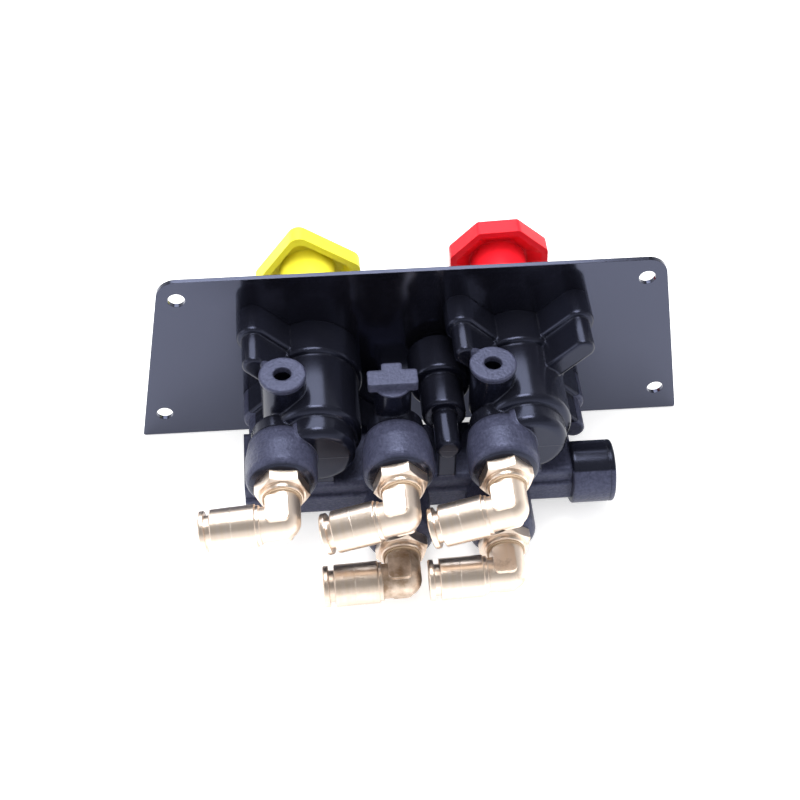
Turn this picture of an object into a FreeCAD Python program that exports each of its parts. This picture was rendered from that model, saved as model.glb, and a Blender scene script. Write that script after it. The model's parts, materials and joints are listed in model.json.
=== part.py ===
import FreeCAD, Part
import math
import os

# Dash control valve of a truck's air brakes: two push-pull valves in one
# moulded body behind a face plate, with five swivelling push-in elbows.
# Millimetres. The origin is the middle of the plate's back face. +Y points
# back to the fittings and +Z up. The parking valve is the one on the +X side.

Vector = FreeCAD.Vector
X_AXIS = Vector(1, 0, 0)
Y_AXIS = Vector(0, 1, 0)
Z_AXIS = Vector(0, 0, 1)

# Face plate
PLATE_MEAN_WIDTH = 220.0
PLATE_HEIGHT = 88.9
PLATE_THICKNESS = 2.0
PLATE_SIDE_SLOPE = 0.169            # sideways run of each end per unit of height
PLATE_TOP_CORNER = 8.5
PLATE_BOTTOM_CORNER = 1.0
MOUNT_HOLE_RADIUS = 3.5
MOUNT_HOLE_SIDE_MARGIN = 8.4        # level with the hole, to the slanting end
MOUNT_HOLE_TOP_MARGIN = 9.7
MOUNT_HOLE_BOTTOM_MARGIN = 13.0

# Valve units, whose axes run along Y at the height of the origin
VALVE_SPACING = 84.5
FLANGE_RADIUS = 20.0
FLANGE_LENGTH = 17.0
BARREL_RADIUS = 18.0
BARREL_END_Y = 48.0
BACK_RADIUS = 15.0
BACK_END_Y = 57.5
VALVE_BORE_RADIUS = 11.0
VALVE_BORE_END_Y = 44.0

# Screw lobes round each valve, each with a foot and a tip drawn out to the valve
LOBE_OFFSET = 23.8
LOBE_FOOT_RADIUS = 6.5
LOBE_FOOT_END_Y = 14.0
LOBE_TIP_RADIUS = 4.5
LOBE_TIP_END_Y = 29.0
LOBE_EDGE_ROUND = 1.4
SCREW_RADIUS = 1.9
SCREW_LENGTH = 18.0
SCREW_HEAD_RADIUS = 4.3
SCREW_HEAD_HEIGHT = 2.6
SCREW_RECESS_WIDTH = 1.0
SCREW_RECESS_DEPTH = 1.3
SCREW_HOLE_CLEARANCE = 0.4
SCREW_THREAD_GAP = 0.1

# Port bosses: a row of three level with the valves, and two lower ones
TOP_PORT_X = (57.0, 11.0, -30.5)
TOP_PORT_START_Y = 48.5
TOP_PORT_MOUTH_Y = 70.5
TOP_PORT_RADIUS = 14.2
LOW_PORT_X = (11.0, -30.5)
LOW_PORT_START_Y = 38.0
LOW_PORT_MOUTH_Y = 77.5
LOW_PORT_RADIUS = 13.5
LOW_ROW_Z = -31.5
PORT_BORE_DEPTH = 14.0
PORT_RIM_ROUND = 3.8
PORT_REAR_ROUND = 3.0
PORT_FLARE = 1.7                    # gain in radius from the rear of a boss
PORT_FLARE_LENGTH = 9.5
PORT_FLARE_ROUND = 6.0
PORT_NECK_RADIUS = 11.5
PORT_NECK_START_Y = 42.5
PASSAGE_RADIUS = 2.2
CROSSING_STEP = 0.3                 # how much narrower a crossing passage is
CROSSING_SHIFT = 0.5                # keeps its wall off the end of the other one
INLET_PAST_SEAT = 1.5

# Upright bosses on the two valves, each with a blind hole, and the post with
# a ribbed head between them
AUX_BOSS_X = (54.7, -28.7)
AUX_BOSS_Y = 34.5
AUX_DISC_RADIUS = 9.4
AUX_DISC_THICKNESS = 1.9
AUX_GROOVE = 0.5
AUX_NECK_RADIUS = 8.9
AUX_TOP_Z = 25.2
AUX_HOLE_RADIUS = 3.6
AUX_HOLE_DEPTH = 14.0
CROSS_X = 11.7
CROSS_Y = 40.5
CROSS_TOP_Z = 26.4
CROSS_NECK_RADIUS = 7.5
CROSS_WIDTH = 19.8
CROSS_FRONT_REACH = 7.7
CROSS_FRONT_RIB = 8.2
CROSS_ARM_DEPTH = 8.0
CROSS_HEAD_HEIGHT = 4.4
CROSS_ROUND = 1.2

# Manifold bar below the valves, with a round boss at its trailer valve end
BAR_LEFT_X = 72.6
BAR_RIGHT_X = -62.2
BAR_FRONT_Y = 24.0
BAR_BACK_Y = 56.0
BAR_TOP_Z = -19.5
BAR_BOTTOM_Z = -36.5
BAR_LEDGE = 1.5                     # how far the upper back face is set in
BAR_LEDGE_Z = -25.8
END_BOSS_X = -79.0
END_BOSS_Y = 48.0
END_BOSS_Z = -28.5
END_BOSS_RADIUS = 12.8
END_BOSS_BAND = 2.2                 # from the fine ring to the end
GALLERY_RADIUS = 3.5
GALLERY_LEFT_X = 62.0
PLUG_RADIUS = 8.5
PLUG_LENGTH = 11.0
PLUG_SEAL_FROM_END = 4.2
PLUG_SOCKET_WIDTH = 6.0
PLUG_SOCKET_DEPTH = 5.0

# Webs between the parts of the body
WEB_INSET = 2.0                     # inside the faces that they join
PORT_WEB_HALF_WIDTH = 10.5
VALVE_WEB_HALF_WIDTH = 6.0
CHECK_WEB_HALF_WIDTH = 3.6
TIE_HALF_HEIGHT = 5.0

# Stepped cylinder between the valves, which holds the check valve
CHECK_X = -9.5
CHECK_START_Y = 4.0
CHECK_STAGES = ((12.5, 22.5), (9.0, 39.0), (5.0, 57.5))      # radius, end
CHECK_BORE_RADIUS = 5.4
CHECK_SEAT_Y = 23.4
CHECK_CONE = 3.0                    # length of the poppet's cone and of its seat
CHECK_WAY_RADIUS = 2.0
RETAINER_LENGTH = 5.0
RETAINER_HOLE_RADIUS = 1.6
POPPET_LENGTH = 7.0
SHUTTLE_LENGTH = 12.0
SHUTTLE_LAND = 3.0
SHUTTLE_WAIST_RADIUS = 2.2

# Plungers, drawn out as they stand in the photograph
KNOB_FRONT_Y = -56.0
KNOB_RIM_DEPTH = 9.0
KNOB_EDGE_ROUND = 1.6
KNOB_DISH_DEPTH = 5.0
KNOB_LAND = 2.8
KNOB_FACE_RECESS = 0.6
KNOB_FACE_BORDER = 3.4
HUB_RADIUS = 12.3
HUB_END_Y = -28.0
OCTAGON_WIDTH = 43.0
OCTAGON_CORNER = 2.4
OCTAGON_TURN = -2.5
SQUARE_WIDTH = 36.0
SQUARE_CORNER = 5.0
SQUARE_TURN = 35.0
STEM_RADIUS = 4.75
STEM_COVER = 3.0                    # knob left in front of the stem
TENON_RADIUS = 3.2
PIN_RADIUS = 1.6
PIN_BORE_RADIUS = 0.9
PIN_SLIT = 0.4
PIN_FROM_HUB_END = 12.0
STROKE = 12.7
PISTON_LENGTH = 14.0
PISTON_SKIRT_RADIUS = 5.6
PISTON_SKIRT_LENGTH = 2.0
DISC_RADIUS = 5.0
DISC_THICKNESS = 2.6
GUIDE_RADIUS = 12.0
GUIDE_END_Y = 8.0
GUIDE_HEX_WIDTH = 27.0
GUIDE_HEX_THICKNESS = 4.0
WIPER_Y = 3.0
SEAT_BORE_RADIUS = 2.4
SEAT_LIP = 1.2
SEAT_RADIUS = 4.4
SEAT_FLANGE_RADIUS = 6.0
SEAT_FLANGE_THICKNESS = 2.0
SEAT_ROOT_LENGTH = 2.0
RETURN_COIL_RADIUS = 8.2
RETURN_WIRE_RADIUS = 0.9
RETURN_TURNS = 4.0
CHECK_COIL_RADIUS = 3.9
CHECK_WIRE_RADIUS = 0.5
CHECK_TURNS = 3.0

# Push-in elbows for 9.5 mm tube
TUBE_RADIUS = 4.76
HEX_WIDTH = 19.0
HEX_THICKNESS = 5.3
HEX_BEVEL = 1.0
COLLAR_RADIUS = 8.4
COLLAR_HEIGHT = 2.0
SHANK_RADIUS = 8.2
SHANK_LENGTH = 11.0
NOSE_RADIUS = 4.55
NOSE_LENGTH = 9.0
NOSE_BORE_RADIUS = 2.9
DUST_RING_THICKNESS = 0.7
ELBOW_RADIUS = 6.9
ELBOW_REACH = 18.2                  # port mouth to the barrel's axis
PAD_WIDTH = 9.0
PAD_LENGTH = 12.6
PAD_HALF_HEIGHT = 7.1
PAD_CORNER = 2.2
PAD_SHIFT_X = 1.5
PAD_SHIFT_Y = -2.4
SHOULDER_RADIUS = 7.7
SHOULDER_START = 8.5                # along the barrel, from the stub's axis
BARREL_START = 10.0
BARREL_END = 27.5
FITTING_BARREL_RADIUS = 8.35
RING_LINE = 19.3
RING_LINE_DEPTH = 0.12
COLLET_RADIUS = 6.3
COLLET_LENGTH = 7.5                 # inside the barrel
COLLET_GAP = 2.1
COLLET_FLANGE_RADIUS = 8.15
COLLET_FLANGE_THICKNESS = 2.3
COLLET_STROKE = 1.5
TUBE_STOP = 11.5                    # end of a pushed-in tube, from the stub's axis
ELBOW_WAY_RADIUS = 3.4
GRAB_RING_THICKNESS = 0.8
GRAB_RING_DISH = 0.7
GRAB_TEETH = 6
TUBE_SEAL_LENGTH = 2.4

# Turn of each barrel below the horizontal, and turn of its hexagon, in degrees
TOP_FITTINGS = (("left", 6.0, 36.0), ("middle", 16.5, 17.0), ("right", 17.0, 15.4))
LOW_FITTINGS = (("lower_middle", 3.0, 12.0), ("lower_right", 3.0, 8.0))

# Seals and clearances
SEAL_WIDTH = 2.4
SEAL_DEPTH = 1.7
RUNNING_GAP = 0.05
PISTON_GAP = 0.08
SEAT_GAP = 0.02                     # between pieces that are fixed together
STOP_GAP = 0.3
TUBE_GAP = 0.12
OVERLAP = 1.0                       # how far joined forms run into each other

# Sizes that follow from the ones above
PLATE_FRONT_Y = -PLATE_THICKNESS
VALVE_X = {"parking": VALVE_SPACING / 2, "trailer": -VALVE_SPACING / 2}
LOBE_CORNERS = {"parking": ((1, 1), (1, -1), (-1, -1)),
                "trailer": ((1, 1), (-1, 1), (-1, -1))}
PIN_Y = HUB_END_Y - PIN_FROM_HUB_END
STEM_FRONT_Y = KNOB_FRONT_Y + STEM_COVER
PISTON_RADIUS = VALVE_BORE_RADIUS - PISTON_GAP
PISTON_FRONT_Y = GUIDE_END_Y + STOP_GAP
PISTON_BACK_Y = PISTON_FRONT_Y + PISTON_LENGTH
PISTON_SHOULDER_Y = PISTON_BACK_Y - PISTON_SKIRT_LENGTH
PISTON_SEAL_Y = (PISTON_FRONT_Y + 3.0, PISTON_SHOULDER_Y - 3.0)
DISC_BACK_Y = PISTON_BACK_Y + SEAT_GAP + DISC_THICKNESS
SEAT_FRONT_Y = DISC_BACK_Y + STROKE + STOP_GAP
SEAT_END_Y = VALVE_BORE_END_Y + SEAT_ROOT_LENGTH
INLET_Y = SEAT_END_Y + INLET_PAST_SEAT
GALLERY_Y = INLET_Y                 # right under the inlets
CROSSING_RADIUS = PASSAGE_RADIUS - CROSSING_STEP
DELIVERY_Y = VALVE_BORE_END_Y - PASSAGE_RADIUS - 0.4
RETAINER_END_Y = CHECK_START_Y + RETAINER_LENGTH
POPPET_SHOULDER_Y = CHECK_SEAT_Y - STOP_GAP
POPPET_FRONT_Y = POPPET_SHOULDER_Y - POPPET_LENGTH
ADAPTER_BORE_RADIUS = NOSE_RADIUS + RUNNING_GAP
ADAPTER_TOP = HEX_THICKNESS + COLLAR_HEIGHT
SWIVEL_SEAL = HEX_THICKNESS - SEAL_WIDTH
STUB_START = ADAPTER_TOP + DUST_RING_THICKNESS + 2 * SEAT_GAP
COLLET_BORE_RADIUS = COLLET_RADIUS + PISTON_GAP
COLLET_INNER_END = BARREL_END - COLLET_LENGTH
TUBE_BORE_RADIUS = TUBE_RADIUS + TUBE_GAP
GRAB_RING_END = COLLET_INNER_END - COLLET_STROKE - STOP_GAP
TUBE_SEAL_END = GRAB_RING_END - GRAB_RING_THICKNESS - GRAB_RING_DISH - STOP_GAP
TUBE_SEAL_START = TUBE_SEAL_END - TUBE_SEAL_LENGTH


def corner_round(before, corner, after, radius):
    """Both tangent points of a round on a corner, with the arc's middle between."""
    inward = (before - corner).normalize()
    onward = (after - corner).normalize()
    half_angle = inward.getAngle(onward) / 2
    run = radius / math.tan(half_angle)
    reach = radius / math.sin(half_angle) - radius
    middle = (inward + onward).normalize()
    return corner + inward * run, corner + middle * reach, corner + onward * run


def outline(points):
    """A closed face in the XY plane from (u, v) or (u, v, corner radius) points."""
    corners = [Vector(point[0], point[1], 0) for point in points]
    marks = []
    for index, point in enumerate(points):
        if len(point) > 2:
            after = corners[(index + 1) % len(corners)]
            marks.append(corner_round(corners[index - 1], corners[index], after, point[2]))
        else:
            marks.append((corners[index],))
    edges = []
    for mark, following in zip(marks, marks[1:] + marks[:1]):
        if len(mark) > 1:
            edges.append(Part.Arc(*mark).toShape())
        if mark[-1].distanceToPoint(following[0]) > 1e-6:
            edges.append(Part.LineSegment(mark[-1], following[0]).toShape())
    return Part.Face(Part.Wire(edges))


def aimed(shape, direction, base):
    """Turn a shape made along +Y to a direction, then carry it to its base."""
    shape.Placement = FreeCAD.Placement(base, FreeCAD.Rotation(Y_AXIS, direction))
    return shape


def turned(profile, base=Vector(), direction=Y_AXIS):
    """A solid of revolution from (radius, distance along the axis) points."""
    return aimed(outline(profile).revolve(Vector(), Y_AXIS, 360), direction, base)


def rod(radius, length, base=Vector(), direction=Y_AXIS):
    return Part.makeCylinder(radius, length, base, direction)


def block(low, high):
    """A box between two opposite corners."""
    size = Vector(*high) - Vector(*low)
    return Part.makeBox(size.x, size.y, size.z, Vector(*low))


def flat_outline(points, y):
    """An outline given in (x, z), standing at a distance along Y."""
    face = outline([(point[0], -point[1]) + tuple(point[2:]) for point in points])
    face.rotate(Vector(), X_AXIS, -90)
    face.translate(Vector(0, y, 0))
    return face


def extruded(points, start_y, end_y):
    """An outline in (x, z), pulled along Y."""
    return flat_outline(points, start_y).extrude(Vector(0, end_y - start_y, 0))


def polygon(sides, width, turn=0.0, corner=0.4):
    """Corners of a regular polygon, from its width across flats."""
    circle = width / 2 / math.cos(math.pi / sides)
    points = []
    for index in range(sides):
        angle = math.radians(turn) + math.pi * (2 * index + 1) / sides
        points.append((circle * math.cos(angle), circle * math.sin(angle), corner))
    return points


def joined(shapes):
    """One clean solid from overlapping shapes."""
    return shapes[0].multiFuse(shapes[1:]).removeSplitter()


def seal_ring(inner, outer, base, direction=Y_AXIS, width=SEAL_WIDTH):
    """A moulded seal with a bevelled lip, held clear of its groove's sides."""
    half = width / 2 - RUNNING_GAP
    lip = 0.35
    return turned([(inner, -half), (outer - lip, -half), (outer, lip - half),
                   (outer, half - lip), (outer - lip, half), (inner, half)], base, direction)


def seal_groove(inner, outer, middle):
    """Profile points of a groove, from its low edge to its high edge."""
    low = middle - SEAL_WIDTH / 2
    high = middle + SEAL_WIDTH / 2
    return [(inner, low), (outer, low), (outer, high), (inner, high)]


def coil_spring(coil_radius, wire_radius, turns, start, end_y):
    """A compression spring along +Y between two faces."""
    length = end_y - start.y - 2 * (wire_radius + RUNNING_GAP)
    helix = Part.makeHelix(length / turns, length, coil_radius)
    ring = Part.makeCircle(wire_radius, Vector(coil_radius, 0, 0), Y_AXIS)
    coil = Part.Wire(helix).makePipeShell([Part.Wire(ring)], True, True)
    coil.rotate(Vector(), X_AXIS, -90)
    coil.translate(start + Vector(0, wire_radius + RUNNING_GAP, 0))
    return coil


def plate_half_width(height):
    return PLATE_MEAN_WIDTH / 2 - PLATE_SIDE_SLOPE * height


def lobe_centres():
    """Screw axes (x, z), each with the x of the valve that it belongs to."""
    centres = []
    for name, corners in LOBE_CORNERS.items():
        for side, height in corners:
            valve_x = VALVE_X[name]
            centres.append((valve_x, valve_x + side * LOBE_OFFSET, height * LOBE_OFFSET))
    return centres


def face_plate():
    half_height = PLATE_HEIGHT / 2
    top = plate_half_width(half_height)
    bottom = plate_half_width(-half_height)
    plate = extruded([(-top, half_height, PLATE_TOP_CORNER), (top, half_height, PLATE_TOP_CORNER),
                      (bottom, -half_height, PLATE_BOTTOM_CORNER),
                      (-bottom, -half_height, PLATE_BOTTOM_CORNER)], PLATE_FRONT_Y, 0)
    places = [(x, 0, GUIDE_RADIUS + RUNNING_GAP) for x in VALVE_X.values()]
    for height in (half_height - MOUNT_HOLE_TOP_MARGIN, MOUNT_HOLE_BOTTOM_MARGIN - half_height):
        x = plate_half_width(height) - MOUNT_HOLE_SIDE_MARGIN
        places += [(x, height, MOUNT_HOLE_RADIUS), (-x, height, MOUNT_HOLE_RADIUS)]
    for _, x, height in lobe_centres():
        places.append((x, height, SCREW_RADIUS + SCREW_HOLE_CLEARANCE))
    through = PLATE_THICKNESS + 2 * OVERLAP
    return plate.cut([rod(radius, through, Vector(x, PLATE_FRONT_Y - OVERLAP, height))
                      for x, height, radius in places])


def valve_housing(x):
    """Flange, barrel and narrower back of one valve, with rounded shoulders."""
    return turned([(0, 0), (FLANGE_RADIUS, 0), (FLANGE_RADIUS, FLANGE_LENGTH, 1.6),
                   (BARREL_RADIUS, FLANGE_LENGTH), (BARREL_RADIUS, BARREL_END_Y, 3.0),
                   (BACK_RADIUS, BARREL_END_Y), (BACK_RADIUS, BACK_END_Y, 3.6),
                   (0, BACK_END_Y)], Vector(x, 0, 0))


def screw_lobe(valve_x, x, height):
    """A stepped screw column, each step drawn out at its full width to the valve."""
    reach = math.hypot(x - valve_x, height)
    toward = math.degrees(math.atan2(height, x - valve_x))
    start = BARREL_RADIUS - 2 * OVERLAP
    steps = []
    for radius, end_y in ((LOBE_FOOT_RADIUS, LOBE_FOOT_END_Y), (LOBE_TIP_RADIUS, LOBE_TIP_END_Y)):
        nearly_round = radius - SEAT_GAP
        step = extruded([(start, -radius), (reach + radius, -radius, nearly_round),
                         (reach + radius, radius, nearly_round), (start, radius)], 0, end_y)
        rim = [edge for edge in step.Edges
               if edge.BoundBox.YMin > end_y - 1e-6 and edge.BoundBox.XMax > start + OVERLAP]
        step = step.makeFillet(LOBE_EDGE_ROUND, rim)
        step.rotate(Vector(), Y_AXIS, -toward)
        step.translate(Vector(valve_x, 0, 0))
        steps.append(step)
    return steps


def port_boss(x, height, radius, start_y, mouth_y):
    """A port boss that flares from a rounded rear to a well rounded mouth."""
    rear = radius - PORT_FLARE
    return turned([(0, 0), (rear, 0, PORT_REAR_ROUND), (radius, PORT_FLARE_LENGTH, PORT_FLARE_ROUND),
                   (radius, mouth_y - start_y, PORT_RIM_ROUND), (0, mouth_y - start_y)],
                  Vector(x, start_y, height))


def port_neck(x):
    """The narrower neck in front of a top port."""
    length = TOP_PORT_START_Y + PORT_FLARE_LENGTH - PORT_NECK_START_Y
    return turned([(0, 0), (PORT_NECK_RADIUS, 0, 1.2), (PORT_NECK_RADIUS, length), (0, length)],
                  Vector(x, PORT_NECK_START_Y, 0))


def aux_boss(x):
    """An upright neck with a thin disc on top, over a fine groove."""
    disc_z = AUX_TOP_Z - AUX_DISC_THICKNESS
    root = AUX_NECK_RADIUS - AUX_GROOVE
    return turned([(0, 0), (AUX_NECK_RADIUS, 0), (AUX_NECK_RADIUS, disc_z - AUX_GROOVE),
                   (root, disc_z - AUX_GROOVE), (root, disc_z), (AUX_DISC_RADIUS, disc_z, 0.3),
                   (AUX_DISC_RADIUS, AUX_TOP_Z, 0.7), (0, AUX_TOP_Z)],
                  Vector(x, AUX_BOSS_Y, 0), Z_AXIS)


def cross_boss():
    """The middle post on the bar, with two arms and a front rib at its head."""
    head_z = CROSS_TOP_Z - CROSS_HEAD_HEIGHT
    foot_z = BAR_TOP_Z - OVERLAP
    post = rod(CROSS_NECK_RADIUS, head_z + OVERLAP - foot_z, Vector(CROSS_X, CROSS_Y, foot_z), Z_AXIS)
    rib = CROSS_FRONT_RIB / 2
    arm = CROSS_ARM_DEPTH / 2
    side = CROSS_WIDTH / 2
    head = outline([(-rib, -CROSS_FRONT_REACH, CROSS_ROUND), (rib, -CROSS_FRONT_REACH, CROSS_ROUND),
                    (rib, -arm), (side, -arm, CROSS_ROUND), (side, arm, CROSS_ROUND),
                    (-side, arm, CROSS_ROUND), (-side, -arm, CROSS_ROUND), (-rib, -arm)])
    head = head.extrude(Vector(0, 0, CROSS_HEAD_HEIGHT))
    head.translate(Vector(CROSS_X, CROSS_Y, head_z))
    return [post, head]


def manifold_bar():
    """The bar along X, rounded along its top, with a ledge along its back face."""
    inner_back = BAR_BACK_Y - BAR_LEDGE
    section = [(BAR_FRONT_Y, BAR_BOTTOM_Z, 2.0), (BAR_BACK_Y, BAR_BOTTOM_Z, 2.0),
               (BAR_BACK_Y, BAR_LEDGE_Z, 1.0), (inner_back, BAR_LEDGE_Z),
               (inner_back, BAR_TOP_Z, 2.2), (BAR_FRONT_Y, BAR_TOP_Z, 2.0)]
    face = outline([(point[1], point[0]) + point[2:] for point in section])
    bar = face.extrude(Vector(0, 0, BAR_LEFT_X - BAR_RIGHT_X))
    bar.rotate(Vector(), Y_AXIS, -90)
    bar.translate(Vector(BAR_LEFT_X, 0, 0))
    start_x = BAR_RIGHT_X + OVERLAP
    length = start_x - END_BOSS_X
    ring = length - END_BOSS_BAND
    boss = turned([(0, 0), (END_BOSS_RADIUS, 0, 1.0), (END_BOSS_RADIUS, ring - 0.3),
                   (END_BOSS_RADIUS - 0.4, ring), (END_BOSS_RADIUS, ring + 0.3),
                   (END_BOSS_RADIUS, length, 1.0), (0, length)],
                  Vector(start_x, END_BOSS_Y, END_BOSS_Z), -X_AXIS)
    return [bar, boss]


def check_housing():
    """The cylinder of the check valve, in three narrowing stages."""
    profile = [(0, CHECK_START_Y), (CHECK_STAGES[0][0], CHECK_START_Y, 1.0)]
    for index, (radius, end_y) in enumerate(CHECK_STAGES):
        if index > 0:
            profile.append((radius, CHECK_STAGES[index - 1][1]))
        profile.append((radius, end_y, 1.5))
    return turned(profile + [(0, CHECK_STAGES[-1][1])], Vector(CHECK_X, 0, 0))


def body_webs():
    """Webs that tie ports, valves and check valve to the bar and to each other."""
    floor_z = BAR_TOP_Z - 2 * OVERLAP
    front_y = BAR_FRONT_Y + WEB_INSET
    back_y = BAR_BACK_Y - WEB_INSET
    webs = [block((x - PORT_WEB_HALF_WIDTH, PORT_NECK_START_Y + WEB_INSET, floor_z),
                  (x + PORT_WEB_HALF_WIDTH, back_y, 0)) for x in TOP_PORT_X]
    for x in VALVE_X.values():
        webs.append(block((x - VALVE_WEB_HALF_WIDTH, front_y, floor_z),
                          (x + VALVE_WEB_HALF_WIDTH, back_y, -BACK_RADIUS / 2)))
    webs.append(block((CHECK_X - CHECK_WEB_HALF_WIDTH, front_y, floor_z),
                      (CHECK_X + CHECK_WEB_HALF_WIDTH, back_y, 0)))
    webs.append(block((VALVE_X["trailer"] + BARREL_RADIUS - OVERLAP, CHECK_START_Y + WEB_INSET,
                       -TIE_HALF_HEIGHT),
                      (CHECK_X, CHECK_STAGES[0][1] - WEB_INSET, TIE_HALF_HEIGHT)))
    return webs


def body_bores():
    """Everything that is drilled or cored out of the body."""
    gallery_z = END_BOSS_Z
    tools = []
    for x in VALVE_X.values():
        tools.append(turned([(0, -OVERLAP), (GUIDE_RADIUS + RUNNING_GAP, -OVERLAP),
                             (GUIDE_RADIUS + RUNNING_GAP, GUIDE_END_Y),
                             (VALVE_BORE_RADIUS, GUIDE_END_Y), (VALVE_BORE_RADIUS, VALVE_BORE_END_Y),
                             (SEAT_RADIUS + SEAT_GAP, VALVE_BORE_END_Y),
                             (SEAT_RADIUS + SEAT_GAP, INLET_Y), (0, INLET_Y)], Vector(x, 0, 0)))
        tools.append(rod(PASSAGE_RADIUS, -gallery_z, Vector(x, INLET_Y, gallery_z), Z_AXIS))
    for _, x, height in lobe_centres():
        tools.append(rod(SCREW_RADIUS, SCREW_LENGTH + OVERLAP, Vector(x, -OVERLAP, height)))
    shank = SHANK_RADIUS + SEAT_GAP
    way_end = TOP_PORT_MOUTH_Y - PORT_BORE_DEPTH
    for x in TOP_PORT_X:
        tools.append(rod(shank, PORT_BORE_DEPTH + OVERLAP, Vector(x, way_end, 0)))
    for x in (TOP_PORT_X[0], TOP_PORT_X[2]):
        valve_x = min(VALVE_X.values(), key=lambda place: abs(place - x))
        sideways = X_AXIS if valve_x > x else -X_AXIS
        tools.append(rod(PASSAGE_RADIUS, way_end - DELIVERY_Y + OVERLAP, Vector(x, DELIVERY_Y, 0)))
        tools.append(rod(CROSSING_RADIUS, abs(valve_x - x), Vector(x, DELIVERY_Y + CROSSING_SHIFT, 0),
                         sideways))
    tools.append(rod(PASSAGE_RADIUS, way_end - GALLERY_Y + PASSAGE_RADIUS + OVERLAP,
                     Vector(TOP_PORT_X[1], GALLERY_Y - PASSAGE_RADIUS, 0)))
    tools.append(rod(CROSSING_RADIUS, -gallery_z, Vector(TOP_PORT_X[1], GALLERY_Y, gallery_z), Z_AXIS))
    for x in LOW_PORT_X:
        low_end = LOW_PORT_MOUTH_Y - PORT_BORE_DEPTH
        tools.append(rod(shank, PORT_BORE_DEPTH + OVERLAP, Vector(x, low_end, LOW_ROW_Z)))
        tools.append(rod(PASSAGE_RADIUS, low_end - GALLERY_Y + OVERLAP,
                         Vector(x, GALLERY_Y, gallery_z)))
    for x in AUX_BOSS_X:
        tools.append(rod(AUX_HOLE_RADIUS, AUX_HOLE_DEPTH + OVERLAP,
                         Vector(x, AUX_BOSS_Y, AUX_TOP_Z - AUX_HOLE_DEPTH), Z_AXIS))
    tools.append(rod(GALLERY_RADIUS, GALLERY_LEFT_X - END_BOSS_X,
                     Vector(END_BOSS_X, GALLERY_Y, gallery_z), X_AXIS))
    tools.append(rod(PLUG_RADIUS, PLUG_LENGTH + OVERLAP,
                     Vector(END_BOSS_X - OVERLAP, END_BOSS_Y, gallery_z), X_AXIS))
    cone_end = CHECK_SEAT_Y + CHECK_CONE
    way_back = GALLERY_Y + CHECK_WAY_RADIUS
    tools.append(turned([(0, CHECK_START_Y - OVERLAP), (CHECK_BORE_RADIUS, CHECK_START_Y - OVERLAP),
                         (CHECK_BORE_RADIUS, CHECK_SEAT_Y), (CHECK_WAY_RADIUS, cone_end),
                         (CHECK_WAY_RADIUS, way_back), (0, way_back)], Vector(CHECK_X, 0, 0)))
    tools.append(rod(CHECK_WAY_RADIUS - CROSSING_STEP, -gallery_z,
                     Vector(CHECK_X, GALLERY_Y, gallery_z), Z_AXIS))
    return tools


def valve_body():
    shapes = [valve_housing(x) for x in VALVE_X.values()]
    for valve_x, x, height in lobe_centres():
        shapes += screw_lobe(valve_x, x, height)
    shapes += [port_boss(x, 0, TOP_PORT_RADIUS, TOP_PORT_START_Y, TOP_PORT_MOUTH_Y)
               for x in TOP_PORT_X]
    shapes += [port_boss(x, LOW_ROW_Z, LOW_PORT_RADIUS, LOW_PORT_START_Y, LOW_PORT_MOUTH_Y)
               for x in LOW_PORT_X]
    shapes += [port_neck(x) for x in TOP_PORT_X] + [aux_boss(x) for x in AUX_BOSS_X]
    shapes += cross_boss() + manifold_bar() + body_webs() + [check_housing()]
    return joined(shapes).cut(body_bores())


def plate_screws():
    """Pan head screws with a cross recess, from the front into the lobes."""
    thread = SCREW_RADIUS - SCREW_THREAD_GAP
    screw = turned([(0, -SCREW_LENGTH), (thread, -SCREW_LENGTH, 0.6), (thread, 0),
                    (SCREW_HEAD_RADIUS, 0), (SCREW_HEAD_RADIUS, SCREW_HEAD_HEIGHT, 1.4),
                    (0, SCREW_HEAD_HEIGHT)], Vector(0, PLATE_FRONT_Y, 0), -Y_AXIS)
    head_y = PLATE_FRONT_Y - SCREW_HEAD_HEIGHT
    arm = SCREW_HEAD_RADIUS * 0.55
    half = SCREW_RECESS_WIDTH / 2
    recess = [block((-x, head_y - OVERLAP, -z), (x, head_y + SCREW_RECESS_DEPTH, z))
              for x, z in ((arm, half), (half, arm))]
    screw = screw.cut(recess)
    return Part.makeCompound([screw.translated(Vector(x, 0, height))
                              for _, x, height in lobe_centres()])


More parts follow.
